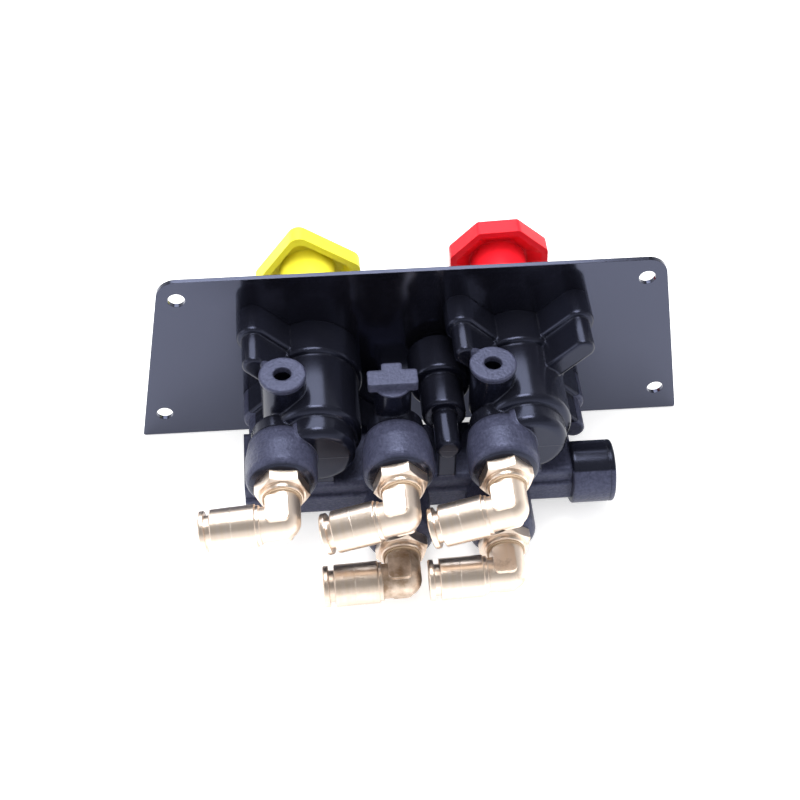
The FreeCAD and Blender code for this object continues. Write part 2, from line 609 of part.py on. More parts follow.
def knob(x, sides, width, corner, turn):
    """A push-pull knob: a rim with a rounded edge, dished behind round its hub."""
    rim_back = KNOB_FRONT_Y + KNOB_RIM_DEPTH
    rim = extruded(polygon(sides, width, turn, corner), KNOB_FRONT_Y, rim_back)
    front_edges = [edge for edge in rim.Edges if edge.BoundBox.YMax < KNOB_FRONT_Y + 1e-6]
    rim = rim.makeFillet(KNOB_EDGE_ROUND, front_edges)
    mouth = polygon(sides, width - 2 * KNOB_LAND, turn, corner)
    floor = polygon(sides, 2 * HUB_RADIUS + OVERLAP, turn, corner)
    dish = Part.makeLoft([flat_outline(floor, rim_back - KNOB_DISH_DEPTH).OuterWire,
                          flat_outline(mouth, rim_back).OuterWire], True, True)
    recess = extruded(polygon(sides, width - 2 * KNOB_FACE_BORDER, turn, corner),
                      KNOB_FRONT_Y - OVERLAP, KNOB_FRONT_Y + KNOB_FACE_RECESS)
    hub_y = rim_back - KNOB_DISH_DEPTH - OVERLAP
    hub = turned([(0, hub_y), (HUB_RADIUS, hub_y), (HUB_RADIUS, HUB_END_Y, 1.0), (0, HUB_END_Y)])
    socket = rod(STEM_RADIUS + SEAT_GAP, HUB_END_Y - STEM_FRONT_Y + OVERLAP,
                 Vector(0, STEM_FRONT_Y, 0))
    pin_hole = rod(PIN_RADIUS, 2 * (HUB_RADIUS + OVERLAP),
                   Vector(-HUB_RADIUS - OVERLAP, PIN_Y, 0), X_AXIS)
    whole = rim.cut([dish, recess]).fuse(hub).cut([socket, pin_hole])
    return whole.translated(Vector(x, 0, 0))


def stem(x):
    """The steel stem from the knob to the piston, thinner where the piston sits."""
    front = STEM_FRONT_Y + SEAT_GAP
    tenon_y = PISTON_FRONT_Y - SEAT_GAP
    end_y = PISTON_SHOULDER_Y - SEAT_GAP
    shaft = turned([(0, front), (STEM_RADIUS, front, 0.8), (STEM_RADIUS, tenon_y),
                    (TENON_RADIUS, tenon_y), (TENON_RADIUS, end_y, 0.5), (0, end_y)])
    pin_hole = rod(PIN_RADIUS, 4 * STEM_RADIUS, Vector(-2 * STEM_RADIUS, PIN_Y, 0), X_AXIS)
    return shaft.cut(pin_hole).translated(Vector(x, 0, 0))


def knob_pin(x):
    """The slit spring pin through the hub and the stem."""
    half = HUB_RADIUS - 0.6
    base = Vector(x - half, PIN_Y, 0)
    bore = rod(PIN_BORE_RADIUS, 2 * half, base, X_AXIS)
    slit = block((x - half, PIN_Y - PIN_SLIT / 2, -2 * PIN_RADIUS), (x + half, PIN_Y + PIN_SLIT / 2, 0))
    return rod(PIN_RADIUS - SEAT_GAP, 2 * half, base, X_AXIS).cut([bore, slit])


def piston(x):
    """The piston, with two seal grooves and a skirt that centres the spring."""
    socket = TENON_RADIUS + SEAT_GAP
    profile = [(socket, PISTON_FRONT_Y), (PISTON_RADIUS, PISTON_FRONT_Y, 0.5)]
    for seal_y in PISTON_SEAL_Y:
        profile += seal_groove(PISTON_RADIUS, VALVE_BORE_RADIUS - SEAL_DEPTH, seal_y)
    profile += [(PISTON_RADIUS, PISTON_SHOULDER_Y), (PISTON_SKIRT_RADIUS, PISTON_SHOULDER_Y),
                (PISTON_SKIRT_RADIUS, PISTON_BACK_Y), (0, PISTON_BACK_Y),
                (0, PISTON_SHOULDER_Y), (socket, PISTON_SHOULDER_Y)]
    return turned(profile, Vector(x, 0, 0))


def piston_seals(x):
    inner = VALVE_BORE_RADIUS - SEAL_DEPTH + SEAT_GAP
    return Part.makeCompound([seal_ring(inner, VALVE_BORE_RADIUS - RUNNING_GAP, Vector(x, seal_y, 0))
                              for seal_y in PISTON_SEAL_Y])


def valve_disc(x):
    """The rubber face that shuts the inlet seat when the knob is pushed in."""
    front = PISTON_BACK_Y + SEAT_GAP
    return turned([(0, front), (DISC_RADIUS, front), (DISC_RADIUS, DISC_BACK_Y, 0.8),
                   (0, DISC_BACK_Y)], Vector(x, 0, 0))


def inlet_seat(x):
    """The brass seat pressed into the back of the bore."""
    flange_y = VALVE_BORE_END_Y - SEAT_GAP
    front_y = flange_y - SEAT_FLANGE_THICKNESS
    return turned([(SEAT_BORE_RADIUS, SEAT_FRONT_Y), (SEAT_BORE_RADIUS + SEAT_LIP, SEAT_FRONT_Y, 0.4),
                   (SEAT_RADIUS, front_y), (SEAT_FLANGE_RADIUS, front_y),
                   (SEAT_FLANGE_RADIUS, flange_y), (SEAT_RADIUS, flange_y),
                   (SEAT_RADIUS, SEAT_END_Y), (SEAT_BORE_RADIUS, SEAT_END_Y)], Vector(x, 0, 0))


def return_spring(x):
    """The spring that pushes the knob out, round the skirt and the seat."""
    return coil_spring(RETURN_COIL_RADIUS, RETURN_WIRE_RADIUS, RETURN_TURNS,
                       Vector(x, PISTON_SHOULDER_Y, 0), VALVE_BORE_END_Y)


def stem_guide(x):
    """The gland nut round the stem, which clamps the plate to the body."""
    back_y = PLATE_FRONT_Y - SEAT_GAP
    head_y = back_y - GUIDE_HEX_THICKNESS
    flat = GUIDE_HEX_WIDTH / 2
    corner = flat / math.cos(math.pi / 6)
    bevel = turned([(0, head_y), (flat - 0.2, head_y), (corner, head_y + 1.4),
                    (corner, back_y), (0, back_y)])
    head = extruded(polygon(6, GUIDE_HEX_WIDTH), head_y, back_y).common(bevel)
    shank = turned([(0, back_y - OVERLAP), (GUIDE_RADIUS, back_y - OVERLAP),
                    (GUIDE_RADIUS, GUIDE_END_Y - SEAT_GAP, 0.6), (0, GUIDE_END_Y - SEAT_GAP)])
    bore_radius = STEM_RADIUS + RUNNING_GAP
    bore = turned([(0, head_y - OVERLAP), (bore_radius, head_y - OVERLAP)]
                  + seal_groove(bore_radius, STEM_RADIUS + SEAL_DEPTH, WIPER_Y)
                  + [(bore_radius, GUIDE_END_Y + OVERLAP), (0, GUIDE_END_Y + OVERLAP)])
    return head.fuse(shank).cut(bore).translated(Vector(x, 0, 0))


def stem_wiper(x):
    return seal_ring(STEM_RADIUS + RUNNING_GAP, STEM_RADIUS + SEAL_DEPTH - SEAT_GAP,
                     Vector(x, WIPER_Y, 0))


def check_retainer():
    """The plug that closes the check valve's bore, with a breather hole."""
    radius = CHECK_BORE_RADIUS - SEAT_GAP
    return turned([(RETAINER_HOLE_RADIUS, CHECK_START_Y), (radius, CHECK_START_Y),
                   (radius, RETAINER_END_Y, 0.5), (RETAINER_HOLE_RADIUS, RETAINER_END_Y)],
                  Vector(CHECK_X, 0, 0))


def check_poppet():
    """The check valve's sliding poppet, with a cone that meets its seat."""
    radius = CHECK_BORE_RADIUS - PISTON_GAP
    nose_y = POPPET_SHOULDER_Y + CHECK_CONE
    return turned([(0, POPPET_FRONT_Y), (radius, POPPET_FRONT_Y, 0.4), (radius, POPPET_SHOULDER_Y),
                   (CHECK_WAY_RADIUS, nose_y), (0, nose_y)], Vector(CHECK_X, 0, 0))


def check_spring():
    return coil_spring(CHECK_COIL_RADIUS, CHECK_WIRE_RADIUS, CHECK_TURNS,
                       Vector(CHECK_X, RETAINER_END_Y, 0), POPPET_FRONT_Y)


def supply_shuttle():
    """The double check shuttle in the gallery, midway between the supply ports."""
    radius = GALLERY_RADIUS - PISTON_GAP
    half = SHUTTLE_LENGTH / 2
    waist = half - SHUTTLE_LAND
    return turned([(0, -half), (radius, -half, 0.5), (radius, -waist), (SHUTTLE_WAIST_RADIUS, -waist),
                   (SHUTTLE_WAIST_RADIUS, waist), (radius, waist), (radius, half, 0.5), (0, half)],
                  Vector(sum(LOW_PORT_X) / 2, GALLERY_Y, END_BOSS_Z), X_AXIS)


def gallery_plug():
    """The plug in the bar's end boss, with a seal groove and a hexagon socket."""
    radius = PLUG_RADIUS - SEAT_GAP
    profile = [(0, 0), (radius, 0, 0.6)]
    profile += seal_groove(radius, PLUG_RADIUS - SEAL_DEPTH, PLUG_LENGTH - PLUG_SEAL_FROM_END)
    profile += [(radius, PLUG_LENGTH - SEAT_GAP, 0.6), (0, PLUG_LENGTH - SEAT_GAP)]
    socket = extruded(polygon(6, PLUG_SOCKET_WIDTH), -OVERLAP, PLUG_SOCKET_DEPTH)
    return aimed(turned(profile).cut(socket), X_AXIS, Vector(END_BOSS_X, END_BOSS_Y, END_BOSS_Z))


def gallery_seal():
    x = END_BOSS_X + PLUG_LENGTH - PLUG_SEAL_FROM_END
    return seal_ring(PLUG_RADIUS - SEAL_DEPTH + SEAT_GAP, PLUG_RADIUS - SEAT_GAP,
                     Vector(x, END_BOSS_Y, END_BOSS_Z), X_AXIS)


def adapter(hex_turn):
    """The hexagon and its shank, which screws into a port and holds the swivel."""
    flat = HEX_WIDTH / 2
    corner = flat / math.cos(math.pi / 6)
    bevel = turned([(0, SEAT_GAP), (corner, SEAT_GAP), (corner, HEX_THICKNESS - HEX_BEVEL),
                    (flat - 0.3, HEX_THICKNESS), (0, HEX_THICKNESS)])
    hexagon = extruded(polygon(6, HEX_WIDTH, hex_turn), 0, HEX_THICKNESS).common(bevel)
    rest = turned([(0, -SHANK_LENGTH), (SHANK_RADIUS, -SHANK_LENGTH, 0.8), (SHANK_RADIUS, OVERLAP),
                   (COLLAR_RADIUS, OVERLAP), (COLLAR_RADIUS, ADAPTER_TOP, 0.7), (0, ADAPTER_TOP)])
    bore = turned([(0, -SHANK_LENGTH - OVERLAP), (ADAPTER_BORE_RADIUS, -SHANK_LENGTH - OVERLAP)]
                  + seal_groove(ADAPTER_BORE_RADIUS, ADAPTER_BORE_RADIUS + SEAL_DEPTH, SWIVEL_SEAL)
                  + [(ADAPTER_BORE_RADIUS, ADAPTER_TOP + OVERLAP), (0, ADAPTER_TOP + OVERLAP)])
    return hexagon.fuse(rest).cut(bore)


def swivel_seal():
    return seal_ring(NOSE_RADIUS + RUNNING_GAP, ADAPTER_BORE_RADIUS + SEAL_DEPTH - SEAT_GAP,
                     Vector(0, SWIVEL_SEAL, 0))


def dust_ring():
    """The thin ring that shows between the swivelling elbow and its collar."""
    low = ADAPTER_TOP + SEAT_GAP
    high = low + DUST_RING_THICKNESS
    outer = COLLAR_RADIUS - 0.8
    return turned([(NOSE_RADIUS + RUNNING_GAP, low), (outer, low), (outer, high),
                   (NOSE_RADIUS + RUNNING_GAP, high)])


def elbow_forging():
    """Stub and branch, which meet in a ball at the outer corner."""
    middle = Vector(0, ELBOW_REACH, 0)
    stub = rod(ELBOW_RADIUS, ELBOW_REACH - STUB_START, Vector(0, STUB_START, 0))
    branch = rod(ELBOW_RADIUS, BARREL_START, middle, X_AXIS)
    return stub.fuse([branch, Part.makeSphere(ELBOW_RADIUS, middle)])


def elbow():
    """The forged elbow with its swivel nose, marking pads and tube barrel."""
    middle = Vector(0, ELBOW_REACH, 0)
    half_width = PAD_WIDTH / 2
    half_length = PAD_LENGTH / 2
    pad = outline([(-half_width, -half_length, PAD_CORNER), (half_width, -half_length, PAD_CORNER),
                   (half_width, half_length, PAD_CORNER), (-half_width, half_length, PAD_CORNER)])
    pad = pad.extrude(Vector(0, 0, 2 * PAD_HALF_HEIGHT))
    pad.translate(middle + Vector(PAD_SHIFT_X, PAD_SHIFT_Y, -PAD_HALF_HEIGHT))
    groove = RING_LINE_DEPTH
    barrel = turned([(0, SHOULDER_START), (SHOULDER_RADIUS, SHOULDER_START, 0.4),
                     (SHOULDER_RADIUS, BARREL_START), (FITTING_BARREL_RADIUS, BARREL_START, 0.6),
                     (FITTING_BARREL_RADIUS, RING_LINE - groove),
                     (FITTING_BARREL_RADIUS - groove, RING_LINE),
                     (FITTING_BARREL_RADIUS, RING_LINE + groove),
                     (FITTING_BARREL_RADIUS, BARREL_END, 0.5), (0, BARREL_END)], middle, X_AXIS)
    nose_start = STUB_START - NOSE_LENGTH
    nose = turned([(0, nose_start), (NOSE_RADIUS, nose_start, 0.4),
                   (NOSE_RADIUS, STUB_START + OVERLAP), (0, STUB_START + OVERLAP)])
    air_way = rod(NOSE_BORE_RADIUS, ELBOW_REACH - nose_start + OVERLAP,
                  Vector(0, nose_start - OVERLAP, 0))
    tube_bore = turned([(0, 0), (ELBOW_WAY_RADIUS, 0), (ELBOW_WAY_RADIUS, TUBE_STOP),
                        (TUBE_BORE_RADIUS, TUBE_STOP), (TUBE_BORE_RADIUS, TUBE_SEAL_START),
                        (COLLET_BORE_RADIUS, TUBE_SEAL_START), (COLLET_BORE_RADIUS, BARREL_END + 1),
                        (0, BARREL_END + 1)], middle, X_AXIS)
    return elbow_forging().fuse([barrel, nose, pad]).cut([air_way, tube_bore])


def grab_ring():
    """The slotted spring ring that grips the tube, dished away from the mouth."""
    outer = COLLET_BORE_RADIUS - SEAT_GAP
    end = GRAB_RING_END
    back = end - GRAB_RING_THICKNESS
    ring = turned([(TUBE_BORE_RADIUS, back - GRAB_RING_DISH), (TUBE_BORE_RADIUS + 0.5, back),
                   (outer, back), (outer, end), (TUBE_BORE_RADIUS + 0.4, end),
                   (TUBE_BORE_RADIUS, end - GRAB_RING_DISH)])
    slots = []
    for index in range(GRAB_TEETH):
        slot = block((0, back - 2, -0.3), (outer - 0.6, end + 1, 0.3))
        slot.rotate(Vector(), Y_AXIS, 360 / GRAB_TEETH * index)
        slots.append(slot)
    return aimed(ring.cut(slots), X_AXIS, Vector(0, ELBOW_REACH, 0))


def tube_seal():
    middle = (TUBE_SEAL_START + TUBE_SEAL_END) / 2
    return seal_ring(TUBE_BORE_RADIUS, COLLET_BORE_RADIUS - SEAT_GAP,
                     Vector(middle, ELBOW_REACH, 0), X_AXIS, TUBE_SEAL_LENGTH)


def collet():
    """The flanged release sleeve that is pushed in to let the tube go."""
    flange = BARREL_END + COLLET_GAP
    end = flange + COLLET_FLANGE_THICKNESS
    return turned([(TUBE_BORE_RADIUS, COLLET_INNER_END), (COLLET_RADIUS, COLLET_INNER_END, 0.5),
                   (COLLET_RADIUS, flange), (COLLET_FLANGE_RADIUS, flange, 0.4),
                   (COLLET_FLANGE_RADIUS, end, 0.7), (TUBE_BORE_RADIUS, end)],
                  Vector(0, ELBOW_REACH, 0), X_AXIS)


def fittings():
    """Every piece of the five fittings, turned and carried to its port."""
    pieces = {"elbow": elbow(), "grab_ring": grab_ring(), "tube_seal": tube_seal(),
              "collet": collet()}
    rows = [(Vector(x, TOP_PORT_MOUTH_Y, 0), fitting) for x, fitting in zip(TOP_PORT_X, TOP_FITTINGS)]
    rows += [(Vector(x, LOW_PORT_MOUTH_Y, LOW_ROW_Z), fitting)
             for x, fitting in zip(LOW_PORT_X, LOW_FITTINGS)]
    nodes = {}
    for port, (name, tilt, hex_turn) in rows:
        nodes["adapter_" + name] = adapter(hex_turn).translated(port)
        for piece, shape in pieces.items():
            nodes[piece + "_" + name] = shape.rotated(Vector(), Y_AXIS, tilt).translated(port)
    for name, shape in (("swivel_seals", swivel_seal()), ("dust_rings", dust_ring())):
        nodes[name] = Part.makeCompound([shape.translated(port) for port, _ in rows])
    return nodes


def plungers():
    """Every piece of the two push-pull valves."""
    makers = {"stem": stem, "knob_pin": knob_pin, "piston": piston, "piston_seals": piston_seals,
              "valve_disc": valve_disc, "inlet_seat": inlet_seat, "return_spring": return_spring,
              "stem_guide": stem_guide, "stem_wiper": stem_wiper}
    nodes = {valve + "_" + piece: make(x)
             for valve, x in VALVE_X.items() for piece, make in makers.items()}
    nodes["parking_knob"] = knob(VALVE_X["parking"], 4, SQUARE_WIDTH, SQUARE_CORNER, SQUARE_TURN)
    nodes["trailer_knob"] = knob(VALVE_X["trailer"], 8, OCTAGON_WIDTH, OCTAGON_CORNER, OCTAGON_TURN)
    return nodes


def main():
    nodes = {"face_plate": face_plate(), "valve_body": valve_body(), "plate_screws": plate_screws(),
             "check_retainer": check_retainer(), "check_poppet": check_poppet(),
             "check_spring": check_spring(), "supply_shuttle": supply_shuttle(),
             "gallery_plug": gallery_plug(), "gallery_seal": gallery_seal()}
    nodes.update(plungers())
    nodes.update(fittings())
    os.makedirs("parts", exist_ok=True)
    for name, shape in nodes.items():
        if len(shape.Solids) == 1:
            shape = shape.Solids[0]
        shape.exportStep(os.path.join("parts", name + ".step"))
        print(name, len(shape.Solids), shape.isValid(), round(shape.Volume, 1))


main()
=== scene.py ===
# %% [markdown]
# # A dash control valve, seen from behind
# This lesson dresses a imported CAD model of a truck's dash control valve: two
# push-pull knobs, a thin black plate, a moulded body and five brass elbows.
# The CAD gives every shape and place. Here each surface gets its finish, and
# the few details that are too fine for the solids are added.
# We start by loading the CAD bodies, and keep the box that they fill, because
# the finished picture must not grow past it.

# %% Load the CAD frame
import json
import math
import bpy
from mathutils import Matrix, Vector

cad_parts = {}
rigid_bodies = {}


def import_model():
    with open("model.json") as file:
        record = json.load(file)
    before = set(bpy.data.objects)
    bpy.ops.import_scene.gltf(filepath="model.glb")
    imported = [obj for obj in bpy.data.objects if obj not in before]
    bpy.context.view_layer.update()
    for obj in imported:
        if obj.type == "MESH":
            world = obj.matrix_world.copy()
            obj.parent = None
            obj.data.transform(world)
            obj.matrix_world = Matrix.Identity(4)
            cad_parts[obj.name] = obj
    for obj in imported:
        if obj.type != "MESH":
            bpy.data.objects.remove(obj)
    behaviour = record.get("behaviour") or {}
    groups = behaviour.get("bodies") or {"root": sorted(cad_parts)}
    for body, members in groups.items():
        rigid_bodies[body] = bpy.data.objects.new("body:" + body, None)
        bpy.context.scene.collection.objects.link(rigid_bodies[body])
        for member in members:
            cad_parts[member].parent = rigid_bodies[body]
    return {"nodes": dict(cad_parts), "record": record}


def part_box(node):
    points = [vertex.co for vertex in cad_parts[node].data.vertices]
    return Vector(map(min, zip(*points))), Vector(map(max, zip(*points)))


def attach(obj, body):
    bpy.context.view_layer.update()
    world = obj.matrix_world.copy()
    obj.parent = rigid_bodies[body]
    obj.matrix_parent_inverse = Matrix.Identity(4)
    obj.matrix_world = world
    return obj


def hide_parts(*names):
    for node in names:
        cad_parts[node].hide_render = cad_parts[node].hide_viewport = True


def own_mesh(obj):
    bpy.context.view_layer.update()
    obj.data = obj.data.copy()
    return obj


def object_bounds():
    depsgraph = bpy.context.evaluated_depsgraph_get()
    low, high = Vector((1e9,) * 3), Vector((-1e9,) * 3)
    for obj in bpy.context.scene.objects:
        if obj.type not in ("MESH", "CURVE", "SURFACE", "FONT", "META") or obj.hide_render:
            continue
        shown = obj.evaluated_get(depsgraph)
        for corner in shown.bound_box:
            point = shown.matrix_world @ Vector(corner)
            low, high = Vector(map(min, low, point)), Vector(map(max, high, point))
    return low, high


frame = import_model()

NODES = frame["nodes"]
RECORD = frame["record"]
JOINTS = {joint["name"]: joint for joint in RECORD["behaviour"]["joints"]}
cad_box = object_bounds()
print("CAD box:", [[round(v, 4) for v in corner] for corner in cad_box])


# %% [markdown]
# ## Camera
# The photograph was taken from behind and above, with a fairly long lens. Its
# place was worked out from the four corners and four holes of the plate, which
# lie in one flat plane, so the vanishing lines fix the tilt. The picture is
# square, and the lens is given for a sensor 36 mm wide.

# %% Place the camera
CAMERA_PLACE = Vector((0.045404, 0.471389, 0.478784))
CAMERA_RIGHT = Vector((-0.9968988, 0.07846692, 0.00597736))
CAMERA_UP = Vector((-0.05345391, -0.73094236, 0.68034252))
CAMERA_BACK = Vector((0.05775349, 0.67791313, 0.73286992))


def add_object(name, data):
    """Put an object with this data into the scene."""
    obj = bpy.data.objects.new(name, data)
    bpy.context.scene.collection.objects.link(obj)
    return obj


camera = add_object("photo_camera", bpy.data.cameras.new("photo_camera"))
turn = Matrix((CAMERA_RIGHT, CAMERA_UP, CAMERA_BACK)).transposed()
camera.matrix_world = Matrix.Translation(CAMERA_PLACE) @ turn.to_4x4()
camera.data.lens = 72.0
camera.data.sensor_width = 36.0
camera.data.clip_start = 0.01
camera.data.clip_end = 10.0
bpy.context.scene.camera = camera
print("camera is", round(CAMERA_PLACE.length, 3), "m from the plate's middle")


# %% [markdown]
# ## A small kit for building node trees
# Every material below is a tree of nodes. One helper adds a node and gives it
# its inputs: an input that is given a number keeps that number, and one that
# is given another node's output is linked to it. Two more make an empty group
# with named sockets, and a material with its Principled shader.

# %% Helpers that build trees
def set_inputs(node, **sockets):
    """Set a node's inputs by name, with _ for a space, or by place, as in0, in1."""
    for name, value in sockets.items():
        by_place = name.startswith("in") and name[2:].isdigit()
        socket = node.inputs[int(name[2:]) if by_place else name.replace("_", " ")]
        if isinstance(value, bpy.types.NodeSocket):
            node.id_data.links.new(value, socket)
        else:
            socket.default_value = value


def add(tree, kind, **sockets):
    """Add a node. Names that end in _ are its settings; the others are inputs."""
    node = tree.nodes.new(kind)
    for name in [name for name in sockets if name.endswith("_")]:
        setattr(node, name[:-1], sockets.pop(name))
    set_inputs(node, **sockets)
    return node


def new_group(name, inputs, outputs):
    """An empty shader group: inputs are (name, default), outputs are (name, kind)."""
    tree = bpy.data.node_groups.new(name, "ShaderNodeTree")
    for label, value in inputs:
        kind = "Vector" if isinstance(value, tuple) else "Float"
        tree.interface.new_socket(label, in_out="INPUT",
                                  socket_type="NodeSocket" + kind).default_value = value
    for label, kind in outputs:
        tree.interface.new_socket(label, in_out="OUTPUT", socket_type="NodeSocket" + kind)
    return tree, tree.nodes.new("NodeGroupInput").outputs, tree.nodes.new("NodeGroupOutput")


def new_material(name):
    """A material with a Principled shader: the material, its tree and its shader."""
    material = bpy.data.materials.new(name)
    material.use_nodes = True
    return material, material.node_tree, material.node_tree.nodes["Principled BSDF"]


def use(tree, group, **sockets):
    """Place a shader group in a tree, and give back its outputs."""
    return add(tree, "ShaderNodeGroup", node_tree_=group, **sockets).outputs


def source_of(shader, name):
    """The output that feeds one of the shader's inputs."""
    return shader.inputs[name].links[0].from_socket


print("tree helpers ready")

# %% [markdown]
# Each one adds a node or two and gives back an output, so a recipe reads as one
# step a line.

# %% Helpers for single steps
def calc(tree, operation, *values, clamp=False):
    """One step of arithmetic on numbers or outputs."""
    inputs = {"in" + str(place): value for place, value in enumerate(values)}
    return add(tree, "ShaderNodeMath", operation_=operation, use_clamp_=clamp,
               **inputs).outputs[0]


def ramp(tree, value, start, end, low=0.0, high=1.0, smooth=False):
    """Go from low to high as the value goes from start to end, and stop there."""
    kind = "SMOOTHSTEP" if smooth else "LINEAR"
    return add(tree, "ShaderNodeMapRange", interpolation_type_=kind, Value=value, From_Min=start,
               From_Max=end, To_Min=low, To_Max=high).outputs["Result"]


def blend(tree, mask, first, second):
    """Mix two colours: the first where the mask is 0, the second where it is 1."""
    return add(tree, "ShaderNodeMix", data_type_="RGBA", in0=mask, in6=first,
               in7=second).outputs[2]


def blend_value(tree, mask, first, second):
    """Mix two values in the same way."""
    return add(tree, "ShaderNodeMix", data_type_="FLOAT", in0=mask, in2=first,
               in3=second).outputs[0]


def object_place(tree):
    """The place on the piece, in metres, in the CAD frame."""
    return add(tree, "ShaderNodeTexCoord").outputs["Object"]


def split(tree, vector):
    """A vector's X, Y and Z."""
    return add(tree, "ShaderNodeSeparateXYZ", Vector=vector).outputs


def noise(tree, place, size, detail, roughness=0.5, seed=None):
    """Noise of a size in metres. On a vector it has spots, on a single value bands."""
    scale = 1.0 / size if isinstance(size, float) else calc(tree, "DIVIDE", 1.0, size)
    inputs = {"W": place} if place.type == "VALUE" else {"Vector": place}
    dimensions = "1D" if place.type == "VALUE" else "3D"
    if seed is not None:
        dimensions = "4D"
        inputs["W"] = seed
    return add(tree, "ShaderNodeTexNoise", noise_dimensions_=dimensions, Scale=scale,
               Detail=detail, Roughness=roughness, **inputs).outputs["Fac"]


def bump(tree, height, strength, depth, normal):
    """Tilt a normal as if the surface stood up by depth where the height is 1."""
    return add(tree, "ShaderNodeBump", Strength=strength, Distance=depth, Height=height,
               Normal=normal).outputs["Normal"]


print("step helpers ready")


# %% [markdown]
# ## Moulded grain
# Injection moulded plastic copies the spark-eroded skin of its mould: a very
# fine, even grain, with slow clouds where the plastic cooled at different
# rates. A picture of grain would need unwrapping, so we use noise on the
# object's own coordinates instead. The group gives a height for a bump, and a
# cloud value that shifts colour and roughness a little.

# %% Group: moulded grain
grain_group, given, out = new_group(
    "moulded_grain", [("Grain Size", 0.0006), ("Cloud Size", 0.02), ("Seed", 0.0)],
    [("Height", "Float"), ("Cloud", "Float")])
place = object_place(grain_group)
grain = noise(grain_group, place, given["Grain Size"], 3.0, roughness=0.55, seed=given["Seed"])
cloud = noise(grain_group, place, given["Cloud Size"], 4.0, roughness=0.6, seed=given["Seed"])
set_inputs(out, Height=grain, Cloud=cloud)
print("moulded_grain:", len(grain_group.nodes), "nodes")


# %% [markdown]
# ## Worn edges
# Corners lose their skin first, and a corner of a real part is never as sharp
# as a drawn one. Cycles' Bevel node gives the direction that a surface would
# face if its edges were rounded. Where that differs from the true direction
# there is an edge, so one node gives both a soft normal and an edge mask. A
# noise breaks the mask up, so that the wear isn't an even line.

# %% Group: worn edges
EDGE_FACING = (0.995, 0.85)     # agreement of the two directions: off the edge, on it

edge_group, given, out = new_group(
    "worn_edges", [("Radius", 0.0006), ("Patch Size", 0.004)],
    [("Mask", "Float"), ("Normal", "Vector")])
rounded = add(edge_group, "ShaderNodeBevel", samples_=6, Radius=given["Radius"]).outputs["Normal"]
true_normal = add(edge_group, "ShaderNodeNewGeometry").outputs["Normal"]
agreement = add(edge_group, "ShaderNodeVectorMath", operation_="DOT_PRODUCT", in0=rounded,
                in1=true_normal).outputs["Value"]
edge = ramp(edge_group, agreement, *EDGE_FACING)
patches = noise(edge_group, object_place(edge_group), given["Patch Size"], 5.0)
broken = ramp(edge_group, patches, 0.4, 0.6)
set_inputs(out, Mask=calc(edge_group, "MULTIPLY", edge, broken), Normal=rounded)
print("worn_edges:", len(edge_group.nodes), "nodes")


# %% [markdown]
# ## Dust
# Black plastic shows every grain of dust, and a thin film lies between the
# grains. Dust settles on what faces up, so its mask is the upward part of the
# normal, broken up by noise. The same mask makes the surface duller.

# %% Group: settled dust
FILM_PATCH_SIZE = 1 / 60        # metres

dust_group, given, out = new_group(
    "settled_dust", [("Amount", 0.3), ("Speck Size", 0.0005)], [("Mask", "Float")])
true_normal = add(dust_group, "ShaderNodeNewGeometry").outputs["Normal"]
lying = ramp(dust_group, split(dust_group, true_normal)["Z"], 0.1, 0.9)
place = object_place(dust_group)
specks = ramp(dust_group, noise(dust_group, place, given["Speck Size"], 2.0), 0.62, 0.75)
film = noise(dust_group, place, FILM_PATCH_SIZE, 4.0)
settled = calc(dust_group, "MULTIPLY", calc(dust_group, "ADD", specks, film), lying)
set_inputs(out, Mask=calc(dust_group, "MULTIPLY", settled, given["Amount"], clamp=True))
print("settled_dust:", len(dust_group.nodes), "nodes")


# %% [markdown]
# ## Turned metal
# A lathe leaves fine rings round the axis that it turned about. Along that
# axis the rings are bands, so a noise of one dimension draws them. The group
# takes a position whose X runs along the axis, so each fitting can pass in its
# own turned coordinates.

# %% Group: lathe rings
WIDE_RING = 1 / 600             # metres

lathe_group, given, out = new_group(
    "lathe_rings", [("Position", (0.0, 0.0, 0.0)), ("Ring Width", 0.00025)],
    [("Height", "Float"), ("Tone", "Float")])
along = split(lathe_group, given["Position"])["X"]
set_inputs(out, Height=noise(lathe_group, along, given["Ring Width"], 2.0),
           Tone=noise(lathe_group, along, WIDE_RING, 2.0))
print("lathe_rings:", len(lathe_group.nodes), "nodes")


# %% [markdown]
# ## A place along one axis
# Some finishes change from one part of a piece to the next: a mould is eroded
# coarser round the ports, or only a fitting's barrel is turned. The group below
# turns a coordinate or a distance into a mask with a soft start, so a material
# can say where such a zone begins without any painted picture. A seam is the
# same idea, with the mask along the line where a coordinate is zero.

# %% Group: zone past a value
zone_group, given, out = new_group(
    "zone", [("Value", 0.0), ("Start", 0.01), ("Blur", 0.001)], [("Mask", "Float")])
zone_end = calc(zone_group, "ADD", given["Start"], given["Blur"])
set_inputs(out, Mask=ramp(zone_group, given["Value"], given["Start"], zone_end))


def past(tree, value, start, blur):
    """A mask that rises from 0 to 1 where a value passes the start."""
    return use(tree, zone_group, Value=value, Start=start, Blur=blur)["Mask"]


def line_at_zero(tree, value, inner, outer):
    """A mask along the line where a value is 0: full up to inner, gone past outer."""
    return ramp(tree, calc(tree, "ABSOLUTE", value), inner, outer, 1.0, 0.0, smooth=True)


print("zone:", len(zone_group.nodes), "nodes")


# %% [markdown]
# ## Moulded plastic
# One recipe serves every plastic and rubber piece. The cloud shifts the colour
# and the roughness a little, the edges are paler where they are worn, and dust
# lies on what faces up. The grain is a bump laid over the rounded normal. The
# recipe hands back its tree, so that a piece can add something of its own.

# %% Recipe: moulded plastic
FINE_DEPTH = 0.00002            # metres, of a fine grain or ring
DUST_GREY = (0.28, 0.28, 0.31, 1)
CLOUD_SHADES = (0.85, 1.15)
WORN_SHADE = 1.3
WORN_LIFT = 0.012


